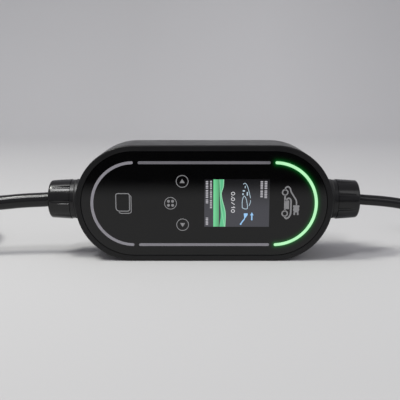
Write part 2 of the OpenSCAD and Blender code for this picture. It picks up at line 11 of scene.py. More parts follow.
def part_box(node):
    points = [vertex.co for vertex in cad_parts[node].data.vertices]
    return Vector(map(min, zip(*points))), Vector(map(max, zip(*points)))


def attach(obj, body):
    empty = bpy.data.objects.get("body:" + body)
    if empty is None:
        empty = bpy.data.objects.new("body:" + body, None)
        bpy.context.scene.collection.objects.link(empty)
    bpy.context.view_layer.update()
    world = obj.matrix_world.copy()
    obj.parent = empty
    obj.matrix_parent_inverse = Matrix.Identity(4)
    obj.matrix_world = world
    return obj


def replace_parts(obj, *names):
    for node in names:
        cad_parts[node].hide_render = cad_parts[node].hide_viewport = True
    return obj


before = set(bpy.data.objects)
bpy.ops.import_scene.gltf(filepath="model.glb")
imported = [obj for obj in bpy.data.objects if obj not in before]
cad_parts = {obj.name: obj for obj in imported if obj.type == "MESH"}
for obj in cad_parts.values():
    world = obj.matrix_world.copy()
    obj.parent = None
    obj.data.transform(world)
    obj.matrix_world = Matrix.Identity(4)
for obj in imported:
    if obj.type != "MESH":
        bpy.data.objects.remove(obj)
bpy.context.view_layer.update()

bl_info = {
    "name": "Portable car charger",
    "version": (1, 0, 0),
    "blender": (4, 5, 0),
    "location": "View3D > Sidebar > Charger",
    "description": "Dresses the solids of a portable car charger and sets its stage",
    "category": "Object",
}

MM = 0.001
BODY = "root"

# Lines on the face, in millimetres
SAME_POINT = 1e-6
MERGE = 1e-4
SHARPEST_MITRE = 0.5

# The face, in millimetres: a point on it is (right, up) from its middle
PANEL_LOW, PANEL_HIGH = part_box("front_panel")
FACE_Y = PANEL_LOW[1] / MM
FACE_Z = (PANEL_LOW[2] + PANEL_HIGH[2]) / 2 / MM
PANEL_R = (PANEL_HIGH[2] - PANEL_LOW[2]) / 2 / MM
PANEL_STRAIGHT = (PANEL_HIGH[0] - PANEL_LOW[0]) / MM - 2 * PANEL_R
ON_FACE = (
    Matrix.Translation((0, FACE_Y * MM, FACE_Z * MM))
    @ Matrix.Rotation(math.pi / 2, 4, "X") @ Matrix.Scale(MM, 4)
)

# The lit arc: its middle line's radius, and where it starts
ARC_LOW, ARC_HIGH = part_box("right_light_arc")
FLANGE_HALF = 2.05
LIGHT_R = (ARC_HIGH[2] - ARC_LOW[2]) / 2 / MM - FLANGE_HALF
LIT_FROM = ARC_LOW[0] / MM + FLANGE_HALF


# Shapes on the face: flat, in millimetres, then raised


def grow(bm, edges):
    """Extrudes edges, and gives the new vertices and the new edges between them."""
    geom = bmesh.ops.extrude_edge_only(bm, edges=edges)["geom"]
    verts = [item for item in geom if isinstance(item, bmesh.types.BMVert)]
    fresh = set(verts)
    between = [item for item in geom if isinstance(item, bmesh.types.BMEdge) and fresh.issuperset(item.verts)]
    return verts, between


def disc(bm, centre, radius, segments=32):
    """A filled circle."""
    bmesh.ops.create_circle(
        bm, cap_ends=True, segments=segments, radius=radius, matrix=Matrix.Translation((*centre, 0))
    )


def ring(bm, centre, radius, width, segments=56):
    """A round line."""
    inner, outer = radius - width / 2, radius + width / 2
    start = bmesh.ops.create_circle(bm, cap_ends=False, segments=segments, radius=inner)["verts"]
    grown, _ = grow(bm, list(dict.fromkeys(edge for vert in start for edge in vert.link_edges)))
    bmesh.ops.scale(bm, vec=(outer / inner, outer / inner, 1), verts=grown)
    bmesh.ops.translate(bm, vec=(*centre, 0), verts=start + grown)


def plate(bm, centre, width, height, corner=0.0, segments=6):
    """A filled rectangle, with round corners if asked."""
    made = bmesh.ops.create_grid(
        bm, x_segments=1, y_segments=1, size=0.5,
        matrix=Matrix.Translation((*centre, 0)) @ Matrix.Diagonal((width, height, 1, 1)),
    )
    if corner:
        bmesh.ops.bevel(
            bm, geom=made["verts"], offset=corner, offset_type="OFFSET", segments=segments,
            profile=0.5, affect="VERTICES", material=-1,
        )


def patch(bm, outline):
    """A filled outline of a few points."""
    bm.faces.new([bm.verts.new((x, y, 0)) for x, y in outline])


def stroke(bm, points, width):
    """A line of even width through some points, mitred at its turns."""
    points = [Vector(point) for point in points]
    last = len(points) - 1
    closed = (points[0] - points[last]).length < SAME_POINT
    offsets = []
    for i, point in enumerate(points):
        before = points[last - 1 if closed else 0] if i == 0 else points[i - 1]
        after = points[1 if closed else last] if i == last else points[i + 1]
        ahead = (after - point).normalized() if (after - point).length else (point - before).normalized()
        behind = (point - before).normalized() if (point - before).length else ahead
        along = (ahead + behind).normalized()
        across = Vector((-along.y, along.x))
        offsets.append(across * (width / 2) / max(SHARPEST_MITRE, along.dot(ahead)))
    sides = [bm.verts.new((*(points[0] + sign * offsets[0]), 0)) for sign in (1, -1)]
    edge = bm.edges.new(sides)
    for point, offset in zip(points[1:], offsets[1:]):
        verts, (edge,) = grow(bm, [edge])
        left = next(vert for vert in verts if any(sides[0] in link.verts for link in vert.link_edges))
        right = next(vert for vert in verts if vert != left)
        left.co, right.co = (*(point + offset), 0), (*(point - offset), 0)
        sides = [left, right]
    bmesh.ops.remove_doubles(bm, verts=bm.verts[:], dist=MERGE)


def curve_through(points, steps):
    """A smooth run of points through a few given ones (Catmull-Rom)."""
    points = [Vector(point) for point in points]
    ends = [2 * points[0] - points[1]] + points + [2 * points[-1] - points[-2]]
    run = []
    for i in range(1, len(ends) - 2):
        a, b, c, d = ends[i - 1:i + 3]
        for k in range(steps):
            t = k / steps
            run.append(0.5 * (2 * b + (c - a) * t + (2 * a - 5 * b + 4 * c - d) * t**2
                              + (3 * b - a - 3 * c + d) * t**3))
    return run + [points[-1]]


def raised(bm, height, lift=0.0):
    """Gives flat shapes a thickness, with closed undersides."""
    bmesh.ops.recalc_face_normals(bm, faces=bm.faces[:])
    for face in bm.faces:
        if face.normal.z < 0:
            face.normal_flip()
    grown = bmesh.ops.extrude_face_region(bm, geom=bm.faces[:], use_keep_orig=True)["geom"]
    top = [item for item in grown if isinstance(item, bmesh.types.BMVert)]
    bmesh.ops.translate(bm, vec=(0, 0, height), verts=top)
    bmesh.ops.recalc_face_normals(bm, faces=bm.faces[:])
    bmesh.ops.translate(bm, vec=(0, 0, lift), verts=bm.verts[:])


def piece(name, bm, material):
    """Turns a bmesh into an object of the charger, with its place in its mesh."""
    mesh = bpy.data.meshes.new(name)
    bm.to_mesh(mesh)
    bm.free()
    return own(bpy.data.objects.new(name, mesh), material)


def printed(name, draw, material, height, lift=0.0):
    """A raised piece of print on the face, drawn flat by a function."""
    bm = bmesh.new()
    draw(bm)
    raised(bm, height, lift)
    bmesh.ops.transform(bm, matrix=ON_FACE, verts=bm.verts[:])
    return piece(name, bm, material)


def own(obj, material):
    """Links a new object, gives it its material and lets it ride on the charger."""
    bpy.context.scene.collection.objects.link(obj)
    obj.data.materials.append(material)
    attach(obj, BODY)
    return obj


def dress(material, *nodes):
    """Gives solids of the part a material."""
    for node in nodes:
        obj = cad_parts[node]
        obj.data.materials.clear()
        obj.data.materials.append(material)


def both(*parts):
    """The names of like nodes at the two ends of the case."""
    return [f"{side}_{part}" for side in ("left", "right") for part in parts]


# Materials

BLACK = (0, 0, 0, 1)


class Shader:
    """A material under construction: nodes by short calls, patterns on object coordinates."""

    def __init__(self, name):
        self.material = bpy.data.materials.new(name)
        self.material.use_nodes = True
        self.tree = self.material.node_tree
        self.body = self.tree.nodes["Principled BSDF"]
        self.place = self.node("ShaderNodeTexCoord").outputs["Object"]

    def feed(self, socket, value):
        """Links another node's output to a socket, or sets the socket's own value."""
        if isinstance(value, bpy.types.NodeSocket):
            self.tree.links.new(value, socket)
        else:
            socket.default_value = value

    def node(self, kind, inputs=(), **settings):
        """Adds a node, with its settings and then its inputs by name or index."""
        made = self.tree.nodes.new(kind)
        for key, value in settings.items():
            setattr(made, key, value)
        for key, value in dict(inputs).items():
            self.feed(made.inputs[key], value)
        return made

    def set(self, **values):
        """Sets sockets of the Principled shader, named with _ for a space."""
        for key, value in values.items():
            self.feed(self.body.inputs[key.replace("_", " ")], value)
        return self

    def noise(self, scale, detail=2.0, stretch=None, distortion=0.0):
        """A noise pattern, stretched by axis if asked."""
        place = self.place
        if stretch:
            place = self.node("ShaderNodeMapping", {"Vector": place, "Scale": stretch}).outputs["Vector"]
        return self.node("ShaderNodeTexNoise", {
            "Vector": place, "Scale": scale, "Detail": detail, "Roughness": 0.55, "Distortion": distortion,
        }).outputs["Fac"]

    def span(self, value, low, high, start=0.0, end=1.0, smooth=False):
        """Takes a value from start..end to low..high."""
        return self.node("ShaderNodeMapRange", {
            "Value": value, "From Min": start, "From Max": end, "To Min": low, "To Max": high,
        }, interpolation_type="SMOOTHSTEP" if smooth else "LINEAR").outputs["Result"]

    def math(self, operation, *values):
        """One step of arithmetic."""
        return self.node("ShaderNodeMath", dict(enumerate(values)), operation=operation).outputs[0]

    def reach(self, a, b):
        """The length of the side across from two at right angles."""
        return self.math("SQRT", self.math("ADD", self.math("MULTIPLY", a, a), self.math("MULTIPLY", b, b)))

    def mix(self, factor, a, b):
        """Mixes two colours (by index, since the sockets' names repeat)."""
        return self.node("ShaderNodeMix", {0: factor, 6: a, 7: b}, data_type="RGBA").outputs[2]

    def axes(self):
        """The object coordinates one by one."""
        split = self.node("ShaderNodeSeparateXYZ", {"Vector": self.place})
        return [split.outputs[axis] for axis in "XYZ"]

    def bump(self, height, strength, distance):
        """Lets a pattern stand up from the surface."""
        self.set(Normal=self.node("ShaderNodeBump", {
            "Height": height, "Strength": strength, "Distance": distance,
        }).outputs["Normal"])
        return self


def rgba(colour, factor=1.0):
    """A colour with its opacity, made brighter or darker."""
    return (*(min(1.0, channel * factor) for channel in colour), 1.0)


def moulded(name, colour, rough, grain, depth, spread=0.12, blotch=60, **values):
    """Plastic or rubber: fine grain, slow changes of colour and gloss."""
    shader = Shader(name)
    slow = shader.noise(blotch, 3)
    shader.set(
        Base_Color=shader.mix(slow, rgba(colour, 1 - spread), rgba(colour, 1 + spread)),
        Roughness=shader.span(slow, rough * 0.88, min(1, rough * 1.12), 0.3, 0.7),
        **values,
    )
    return shader.bump(shader.noise(grain, 4), 0.35, depth).material


def metal(name, colour, rough, stretch=(40, 900, 900)):
    """Turned or plated metal with fine lines."""
    shader = Shader(name)
    lines = shader.noise(3, 4, stretch)
    shader.set(
        Base_Color=shader.mix(lines, rgba(colour, 0.85), rgba(colour, 1.05)),
        Metallic=1.0,
        Roughness=shader.span(lines, rough * 0.7, rough * 1.4, 0.3, 0.7),
    )
    return shader.bump(lines, 0.15, 0.00004).material


def laminate(name, colour, track):
    """A circuit board: varnished ground with copper tracks showing through."""
    shader = Shader(name)
    cells = shader.node("ShaderNodeTexVoronoi", {"Vector": shader.place, "Scale": 240.0},
                        feature="DISTANCE_TO_EDGE", distance="MANHATTAN").outputs["Distance"]
    lines = shader.span(cells, 1.0, 0.0, 0.03, 0.09)
    shader.set(Base_Color=shader.mix(lines, rgba(colour), rgba(track)), Roughness=0.32)
    return shader.bump(lines, 0.25, 0.00008).material


# Settings


class ChargerSizes(bpy.types.PropertyGroup):
    """Sizes that can be changed"""

    vehicle_cable: FloatProperty(
        name="Vehicle cable", description="Diameter of the vehicle cable", default=0.0133, unit="LENGTH")
    mains_lead: FloatProperty(
        name="Mains lead", description="Diameter of the mains lead", default=0.0097, unit="LENGTH")
    display_width: FloatProperty(
        name="Display width", description="Width of the lit picture", default=0.0569, unit="LENGTH")
    display_height: FloatProperty(
        name="Display height", description="Height of the lit picture", default=0.0423, unit="LENGTH")
    print_height: FloatProperty(
        name="Print height", description="Thickness of the print on the face", default=0.00004, unit="LENGTH")


def colour_property(name, description, default):
    """A colour setting."""
    return FloatVectorProperty(
        name=name, description=description, default=default, size=3, min=0, max=1, subtype="COLOR")


class ChargerColours(bpy.types.PropertyGroup):
    """Colours that can be changed"""

    case: colour_property("Case", "Plastic of the two shells", (0.007, 0.007, 0.0074))
    face: colour_property("Face", "Glossy face plate", (0.0015, 0.0015, 0.0017))
    light_off: colour_property("Light, off", "Unlit light guides", (0.34, 0.33, 0.36))
    light_on: colour_property("Light, on", "Lit light guide", (0.50, 0.98, 0.55))
    halo: colour_property("Halo", "Glow of the lit guide in the face", (0.0, 0.10, 0.012))
    icons: colour_property("Icons", "Print on the face", (0.35, 0.35, 0.355))
    jacket: colour_property("Jacket", "Sheath of both cables", (0.007, 0.007, 0.0074))
    screen: colour_property("Screen", "Ground of the display", (0.033, 0.0335, 0.043))
    band: colour_property("Band", "Green band on the display", (0.135, 0.525, 0.245))
    floor: colour_property("Floor", "Floor and backdrop", (0.653, 0.653, 0.654))


# Cables: routes in millimetres, as the part's solids have them

HANK_X, HANK_Y, HANK_RUN = -416.0, 32.0, 280.0
HANK_NEAR, HANK_FAR = HANK_X + HANK_RUN / 2, HANK_X - HANK_RUN / 2
INNER, OUTER = 40.0, 53.4
LAYERS = (6.7, 20.1, 33.5, 46.9)
VEHICLE_IN = [
    (-121.85, -2, 51.5), (-134, -2, 51.5), (-140, -2, 51.25), (-147, -2, 50.7), (-166, -2, 49.7),
    (-184, -3, 48.2), (-202, -5, 47.3), (-224, -7, 47), (-248, -8, 46.9), (-266, -8, 46.9),
    (HANK_NEAR, HANK_Y - INNER, LAYERS[3]),
]
VEHICLE_TAIL = [
    (HANK_FAR + x, y, z) for x, y, z in (
        (0.5, 72, 20.1), (9, 71.4, 20.1), (20, 68, 20.1), (29, 63.4, 20.1), (38, 56.6, 22.4),
        (49, 47.2, 25.9), (60, 38.8, 29.2), (70, 33.6, 31), (79, 32.1, 31.45), (85, 32, 31.5),
        (106, 32, 31.5),
    )
]
MAINS_ROUTE = [
    (121.85, -2, 51.5), (134, -2, 51.5), (140, -2, 51.25), (147, -2, 50.6), (164, -2, 49.2), (182, -3, 46.7),
    (200, -6, 41.6), (218, -9.5, 33.3), (236, -12.4, 23.8), (254, -13.8, 14.4), (270, -14, 8),
    (284, -13.8, 5.2), (298, -11, 4.9), (310, -3, 4.9), (318, 8.5, 4.9), (321, 22, 5.6), (319.6, 36, 7.6),
    (313.4, 48.6, 11.2), (306.4, 57.4, 15), (299.4, 61.8, 18.2), (292, 64, 19.6), (270.12, 66.3, 19.6),
]
ROUTE_STEPS = 4


def ease(t, start, end):
    """0 before start, 1 after end, smooth between."""
    t = min(1.0, max(0.0, (t - start) / (end - start)))
    return t * t * (3 - 2 * t)


def hank_leg(side, radius, layer, radius_to=None, layer_to=None, start=0.1, end=0.9, steps=24):
    """One run of the hank: side -1 goes away from the box in front, 1 comes back behind."""
    radius_to = radius if radius_to is None else radius_to
    layer_to = layer if layer_to is None else layer_to
    run = []
    for k in range(1, steps + 1):
        t = k / steps
        part = ease(t, start, end)
        x = HANK_NEAR - HANK_RUN * t if side < 0 else HANK_FAR + HANK_RUN * t
        z = LAYERS[layer] + (LAYERS[layer_to] - LAYERS[layer]) * part
        run.append((x, HANK_Y + side * (radius + (radius_to - radius) * part), z))
    return run


def hank_fold(far, radius, layer, steps=18):
    """One turn at an end of the hank."""
    middle, out = (HANK_FAR, -1) if far else (HANK_NEAR, 1)
    run = []
    for k in range(1, steps + 1):
        angle = math.pi * k / steps
        y = HANK_Y + out * radius * math.cos(angle)
        run.append((middle + out * radius * math.sin(angle), y, LAYERS[layer]))
    return run


def smooth_route(points):
    """A cable's line through a few points."""
    return [tuple(point) for point in curve_through(points, ROUTE_STEPS)]


def vehicle_route():
    """The vehicle cable's centre line from its gland, through the hank, into the connector."""
    return (
        smooth_route(VEHICLE_IN)
        + hank_leg(-1, INNER, 3, layer_to=2, start=0.15, end=0.46) + hank_fold(True, INNER, 2)
        + hank_leg(1, INNER, 2, radius_to=OUTER, start=0.5, end=0.9) + hank_fold(False, OUTER, 2)
        + hank_leg(-1, OUTER, 2) + hank_fold(True, OUTER, 2)
        + hank_leg(1, OUTER, 2, layer_to=1, start=0.05, end=0.45) + hank_fold(False, OUTER, 1)
        + hank_leg(-1, OUTER, 1) + hank_fold(True, OUTER, 1)
        + hank_leg(1, OUTER, 1, layer_to=0, start=0.05, end=0.45) + hank_fold(False, OUTER, 0)
        + hank_leg(-1, OUTER, 0, radius_to=INNER) + hank_fold(True, INNER, 0)
        + hank_leg(1, INNER, 0, layer_to=1, start=0.5, end=0.9) + hank_fold(False, INNER, 1)
        + hank_leg(-1, INNER, 1) + hank_fold(True, INNER, 1)
        + smooth_route(VEHICLE_TAIL)[1:]
    )


def cable(name, route, diameter, material):
    """A round cable along a route in millimetres."""
    data = bpy.data.curves.new(name, "CURVE")
    data.dimensions = "3D"
    data.bevel_depth = diameter / 2
    data.bevel_resolution = 6
    data.use_fill_caps = True
    line = data.splines.new("POLY")
    line.points.add(len(route) - 1)
    for point, place in zip(line.points, route):
        point.co = (*(value * MM for value in place), 1)
    line.use_smooth = True
    return own(bpy.data.objects.new(name, data), material)


class CHARGER_OT_cables(bpy.types.Operator):
    """Lays the vehicle cable in its hank and the mains lead down to its plug"""

    bl_idname = "charger.cables"
    bl_label = "Cables"

    def execute(self, context):
        sizes, colours = context.scene.charger_sizes, context.scene.charger_colours
        jacket = moulded(
            "cable_jacket", colours.jacket, 0.18, 900, 0.000006, spread=0.10, blotch=45,
            Specular_IOR_Level=0.38,
        )
        route = vehicle_route()
        vehicle = cable("vehicle_cord", route, sizes.vehicle_cable, jacket)
        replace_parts(vehicle, "vehicle_cable", "vehicle_cable_hank", "vehicle_cable_tail")
        straps = hank_straps()
        route = smooth_route(MAINS_ROUTE)
        mains = cable("mains_cord", route, sizes.mains_lead, jacket)
        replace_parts(mains, "mains_lead")
        return {"FINISHED"}


def hank_straps():
    """Hook-and-loop straps around the hank's two legs, each with its loose end folded over the top."""
    low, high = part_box("hank_ties")
    width, thick, lift, lengths = high[0] - low[0], 0.0011, 0.0001, 4
    half, top, corner = 0.01345, LAYERS[2] * MM + 0.0068, 0.0062
    bm = bmesh.new()
    for side in (-1, 1):
        middle = HANK_Y * MM + side * (INNER + OUTER) / 2 * MM
        before = set(bm.faces)
        made = bmesh.ops.create_grid(
            bm, x_segments=1, y_segments=1, size=0.5,
            matrix=Matrix.Translation((low[0], middle, top / 2 + lift)) @ Matrix.Rotation(math.pi / 2, 4, "Y")
            @ Matrix.Diagonal((top, 2 * half, 1, 1)),
        )
        bmesh.ops.bevel(
            bm, geom=made["verts"], offset=corner, offset_type="OFFSET", segments=8, profile=0.5,
            affect="VERTICES", material=-1,
        )
        face = next(item for item in bm.faces if item not in before)
        edges = list(face.edges)
        bmesh.ops.delete(bm, geom=[face], context="FACES_ONLY")
        for _ in range(lengths):
            verts, edges = grow(bm, edges)
            bmesh.ops.translate(bm, vec=(width / lengths, 0, 0), verts=verts)
        bmesh.ops.create_grid(
            bm, x_segments=4, y_segments=4, size=0.5,
            matrix=Matrix.Translation((low[0] + width / 2, middle, top + lift + thick * 1.05))
            @ Matrix.Diagonal((width * 0.97, 1.5 * half, 1, 1)),
        )
    bmesh.ops.recalc_face_normals(bm, faces=bm.faces[:])
    bmesh.ops.solidify(bm, geom=bm.faces[:], thickness=-thick * 0.9)
    bmesh.ops.recalc_face_normals(bm, faces=bm.faces[:])
    for vert in bm.verts:
        vert.co.z = max(vert.co.z, lift / 2)
    shader = Shader("strap_weave")
    weave = shader.node("ShaderNodeTexWave", {"Vector": shader.place, "Scale": 420.0, "Distortion": 1.5},
                        bands_direction="X").outputs["Fac"]
    fuzz = shader.math("ADD", weave, shader.noise(1800, 4))
    shader.set(Base_Color=shader.mix(fuzz, (0.010, 0.010, 0.011, 1), (0.035, 0.035, 0.037, 1)),
               Roughness=0.92, Sheen_Weight=0.3)
    straps = piece("hank_straps", bm, shader.bump(fuzz, 0.6, 0.0003).material)
    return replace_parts(straps, "hank_ties")


# Finishes of the solids

# The glow beside the lit guide: how fast it fades, per metre, and how bright it starts
HALO_FADE, HALO_GAIN = 1000.0, 4.5
# Lamps to a full turn behind the lit guide
LAMPS_PER_TURN = 14.4

class CHARGER_OT_case(bpy.types.Operator):
    """Finishes the two shells, their seal and screws"""

    bl_idname = "charger.case"
    bl_label = "Case"

    def execute(self, context):
        colours = context.scene.charger_colours
        dress(moulded("case_plastic", colours.case, 0.33, 1400, 0.00006), "rear_shell")
        rim = moulded("rim_plastic", colours.case, 0.38, 1400, 0.00006, Specular_IOR_Level=0.3)
        dress(rim, "front_cover")
        dress(moulded("seal_rubber", (0.05, 0.05, 0.052), 0.8, 1200, 0.0001), "housing_seal")
        dress(metal("screw_steel", (0.56, 0.56, 0.57), 0.3), "housing_screws", "control_board_screws",
              "power_board_screws")
        return {"FINISHED"}


class CHARGER_OT_face(bpy.types.Operator):
    """Finishes the glossy face plate, with the glow of the lit guide in it"""

    bl_idname = "charger.face"
    bl_label = "Face"

    def execute(self, context):
        colours = context.scene.charger_colours
        shader = Shader("face_gloss")
        x, _, z = shader.axes()
        centre = PANEL_STRAIGHT / 2 * MM
        beyond = shader.math("MAXIMUM", shader.math("SUBTRACT", x, centre), 0.0)
        rise = shader.math("SUBTRACT", z, FACE_Z * MM)
        away = shader.math("ABSOLUTE", shader.math("SUBTRACT", shader.reach(beyond, rise), LIGHT_R * MM))
        before = shader.math("MAXIMUM", shader.math("SUBTRACT", LIT_FROM * MM, x), 0.0)
        near = shader.math("EXPONENT", shader.math("MULTIPLY", shader.reach(away, before), -HALO_FADE))
        smear = shader.noise(35, 4, (1, 1, 2.4), 0.6)
        shader.set(
            Base_Color=rgba(colours.face), Roughness=shader.span(smear, 0.03, 0.09, 0.35, 0.75),
            Specular_IOR_Level=0.42, Emission_Strength=1.0,
            Emission_Color=shader.mix(near, BLACK, rgba(colours.halo, HALO_GAIN)),
        )
        dress(shader.bump(shader.noise(25, 2), 0.02, 0.0002).material, "front_panel")
        return {"FINISHED"}


class CHARGER_OT_lights(bpy.types.Operator):
    """Finishes the light ring: one arc lit, the rest off"""

    bl_idname = "charger.lights"
    bl_label = "Light ring"

    def execute(self, context):
        colours = context.scene.charger_colours
        # The unlit guides share one colour, scaled by a level per copy as painted light and shade: the arc a
        # little lighter, the bottom bar a little darker and the top bar much darker, for the light that falls
        # on each
        for name, level, node in (
            ("light_guide_off", 1.06, "left_light_arc"), ("light_guide_top_painted_shade", 0.64, "top_light_bar"),
            ("light_guide_bottom_painted_shade", 0.92, "bottom_light_bar"),
        ):
            colour = [channel * level for channel in colours.light_off]
            dress(moulded(name, colour, 0.32, 700, 0.00003, 0.10, 120), node)
        shader = Shader("light_guide_on")
        x, _, z = shader.axes()
        angle = shader.math("ARCTAN2", shader.math("SUBTRACT", z, FACE_Z * MM),
                            shader.math("SUBTRACT", x, PANEL_STRAIGHT / 2 * MM))
        beat = shader.math("COSINE", shader.math("MULTIPLY", angle, LAMPS_PER_TURN))
        spots = shader.span(beat, 0.0, 1.0, -1.0, 1.0)
        shader.set(
            Base_Color=rgba(colours.light_on, 0.08), Roughness=0.35,
            Emission_Color=shader.mix(spots, rgba(colours.light_on, 0.93), rgba(colours.light_on)),
            Emission_Strength=0.95,
        )
        dress(shader.material, "right_light_arc")
        return {"FINISHED"}


class CHARGER_OT_glands(bpy.types.Operator):
    """Finishes the cable glands"""

    bl_idname = "charger.glands"
    bl_label = "Cable glands"

    def execute(self, context):
        colours = context.scene.charger_colours
        body = moulded("gland_plastic", colours.case, 0.24, 1200, 0.00002, 0.15, Specular_IOR_Level=0.4)
        dress(body, *both("gland_body", "lock_nut"))
        dark = [channel * 0.48 for channel in colours.case]
        nut = moulded("nut_plastic", dark, 0.2, 1200, 0.000005, 0.15, Specular_IOR_Level=0.45)
        dress(nut, *both("gland_nut"))
        rubber = moulded("gland_rubber", (0.016, 0.016, 0.016), 0.75, 1000, 0.00012)
        dress(rubber, *both("gland_gasket", "gland_bush"))
        return {"FINISHED"}


class CHARGER_OT_inside(bpy.types.Operator):
    """Finishes what the case holds"""

    bl_idname = "charger.inside"
    bl_label = "Inside"

    def execute(self, context):
        boards = laminate("control_laminate", (0.01, 0.09, 0.035), (0.05, 0.22, 0.07))
        dress(boards, "control_board", "power_board")
        dress(laminate("antenna_laminate", (0.015, 0.10, 0.05), (0.5, 0.28, 0.12)), "card_antenna")
        for name, colour, rough, node in (
            ("display_case", (0.05, 0.05, 0.055), 0.3, "display_module"),
            ("lamp_package", (0.78, 0.74, 0.52), 0.35, "indicator_leds"),
            ("pad_foam", (0.09, 0.09, 0.09), 0.95, "touch_pads"),
            ("relay_case", (0.012, 0.02, 0.12), 0.45, "power_relays"),
            ("sensor_case", (0.02, 0.02, 0.02), 0.5, "current_sensor"),
            ("supply_case", (0.42, 0.32, 0.03), 0.5, "power_supply"),
            ("terminal_plastic", (0.012, 0.10, 0.035), 0.45, "terminal_blocks"),
            ("link_ribbon", (0.78, 0.78, 0.76), 0.4, "board_link"),
            ("vehicle_core", (0.07, 0.03, 0.2), 0.4, "vehicle_leads"),
            ("mains_core", (0.13, 0.05, 0.01), 0.4, "mains_leads"),
        ):
            dress(moulded(name, colour, rough, 900, 0.00008), node)
        return {"FINISHED"}


class CHARGER_OT_ends(bpy.types.Operator):
    """Finishes the vehicle connector and the plug"""

    bl_idname = "charger.ends"
    bl_label = "Connector and plug"

    def execute(self, context):
        dress(moulded("connector_plastic", (0.022, 0.022, 0.023), 0.42, 1100, 0.00012),
              "connector_handle", "connector_nose")
        dress(moulded("insert_plastic", (0.045, 0.045, 0.048), 0.5, 900, 0.00008), "connector_insert")
        dress(moulded("boot_rubber", (0.014, 0.014, 0.014), 0.7, 900, 0.00014), "connector_boot", "plug_boot")
        dress(moulded("plug_rubber", (0.018, 0.018, 0.018), 0.55, 1000, 0.00014), "plug_body")
        dress(metal("contact_plate", (0.62, 0.60, 0.55), 0.22), "connector_contacts", "plug_pins",
              "plug_earth_clips")
        return {"FINISHED"}


# Print on the face


TOUCH_UP, TOUCH_DOTS, TOUCH_DOWN = (-19.1, 20.2), (-29.4, 0.8), (-18.9, -18.4)
TOUCH_R, TOUCH_LINE = 5.2, 0.62
ARROW_WIDTH, ARROW_HEIGHT, ARROW_SHIFT = 4.5, 3.6, 0.3
DOT_R, DOT_STEP = 1.25, 1.8
CHARGING_SHIFT = (-0.4, 0.25, 0)


def triangle(bm, centre, width, height):
    """A filled triangle that points up, or down where its height is below nought."""
    x, y = centre
    outline = [(x - width / 2, y - height / 2), (x + width / 2, y - height / 2), (x, y + height / 2)]
    patch(bm, outline if height > 0 else outline[::-1])


class CHARGER_OT_icons(bpy.types.Operator):
    """Prints the touch icons, the card icon and the charging icon on the face"""

    bl_idname = "charger.icons"
    bl_label = "Icons"

    def execute(self, context):
        height = context.scene.charger_sizes.print_height / MM
        ink = moulded("face_print", context.scene.charger_colours.icons, 0.45, 1500, 0.00002, 0.06)
        printed("touch_icons", touch_icons, ink, height)
        printed("card_icon", card_icon, ink, height)
        printed("charging_icon", charging_icon, ink, height)
        return {"FINISHED"}


def touch_icons(bm):
    """Three rings: with an arrow up, four dots and an arrow down."""
    for centre in (TOUCH_UP, TOUCH_DOTS, TOUCH_DOWN):
        ring(bm, centre, TOUCH_R, TOUCH_LINE)
    triangle(bm, (TOUCH_UP[0], TOUCH_UP[1] + ARROW_SHIFT), ARROW_WIDTH, ARROW_HEIGHT)
    triangle(bm, (TOUCH_DOWN[0], TOUCH_DOWN[1] - ARROW_SHIFT), ARROW_WIDTH, -ARROW_HEIGHT)
    for dx in (-DOT_STEP, DOT_STEP):
        for dy in (-DOT_STEP, DOT_STEP):
            disc(bm, (TOUCH_DOTS[0] + dx, TOUCH_DOTS[1] + dy), DOT_R)


def corner_arc(centre, radius, start, end, steps=6):
    """Points along a round corner, between two angles in degrees."""
    angles = [math.radians(start + (end - start) * k / steps) for k in range(steps + 1)]
    return [(centre[0] + radius * math.cos(a), centre[1] + radius * math.sin(a)) for a in angles]


def card_icon(bm):
    """Two cards, one behind the other."""
    left, right, top, bottom, small, large = -77.2, -65.3, 9.4, -6.2, 1.7, 3.2
    outline = (corner_arc((left + small, top - small), small, 180, 90)
               + corner_arc((right - small, top - small), small, 90, 0)
               + corner_arc((right - small, bottom + small), small, 0, -90)
               + corner_arc((left + large, bottom + large), large, -90, -180))
    stroke(bm, outline + outline[:1], 0.75)
    back = (corner_arc((right + 0.2, top - 3.0), 1.2, 80, 0)
            + corner_arc((right - 0.6, bottom), 2.0, 0, -90)
            + corner_arc((left + 5.0, bottom + 1.2), 3.2, -90, -140))
    stroke(bm, back, 0.7)


def charging_icon(bm):
    """A car on its side with a cable and a plug."""
    wheel_x, upper, lower = 71.1, 10.2, -8.6
    for y in (upper, lower):
        ring(bm, (wheel_x, y), 2.35, 1.15, 40)
    stroke(bm, [(wheel_x, upper - 2.4), (wheel_x, 3.0)], 1.45)
    plate(bm, (72.6, -0.8), 4.4, 7.7)
    stroke(bm, [(wheel_x, -4.4), (wheel_x, lower + 2.4)], 1.45)
    stroke(bm, curve_through([(71.6, 2.6), (73.2, 4.6), (75.0, 4.9), (76.3, 3.2), (76.4, 0.0), (76.4, -5.0),
                              (76.2, -9.0), (74.6, -12.0), (72.4, -13.0), (70.9, -11.3)], 5), 1.4)
    stroke(bm, curve_through([(wheel_x, upper + 2.3), (71.6, 14.4), (73.6, 15.2), (75.4, 13.6), (76.4, 10.6),
                              (78.6, 7.0), (80.6, 3.8), (81.2, 1.8), (81.2, -1.2)], 5), 1.25)
    patch(bm, [(78.4, -1.3), (83.8, -1.3), (83.8, -3.0), (83.3, -3.6), (83.8, -4.4), (83.5, -6.2),
               (82.7, -7.6), (79.5, -7.6), (78.6, -6.2), (78.4, -4.4), (78.9, -3.6), (78.4, -3.0)])
    for x in (79.55, 82.55):
        plate(bm, (x, -8.7), 1.45, 2.4)
    bmesh.ops.translate(bm, vec=CHARGING_SHIFT, verts=bm.verts[:])


# Display

DISPLAY_X, DISPLAY_Y = 28.65, 0.9
DISPLAY_BORDER = 0.15
BAND_X, BAND_WIDTH = 10.55, 4.9


